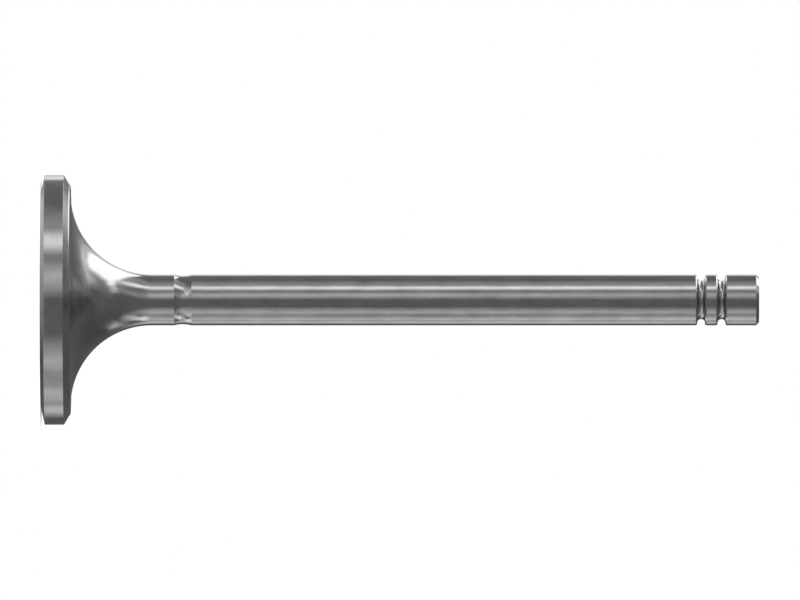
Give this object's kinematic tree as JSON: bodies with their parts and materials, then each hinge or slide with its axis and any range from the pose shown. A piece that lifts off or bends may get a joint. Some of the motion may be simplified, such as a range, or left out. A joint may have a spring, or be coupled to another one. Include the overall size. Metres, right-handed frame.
{
  "type": "engine valve",
  "caption": "Poppet engine valve: disc head with a narrow conical seat face, smoothly curved neck and long ground stem with half-round keeper grooves near the tip.",
  "frame": {"origin": "centre of the flat combustion face, which is also the face that the valve stands on", "axes": "+Z along the stem from the head to the tip; the valve is a body of revolution about Z, so X and Y are free"},
  "size_m": [0.044, 0.044, 0.1266],
  "materials": {
    "ground_steel": "fine ground and lightly polished valve steel, neutral grey, a little cloudy"
  },
  "bodies": {
    "root": {"valve": "ground_steel"}
  },
  "joints": []
}
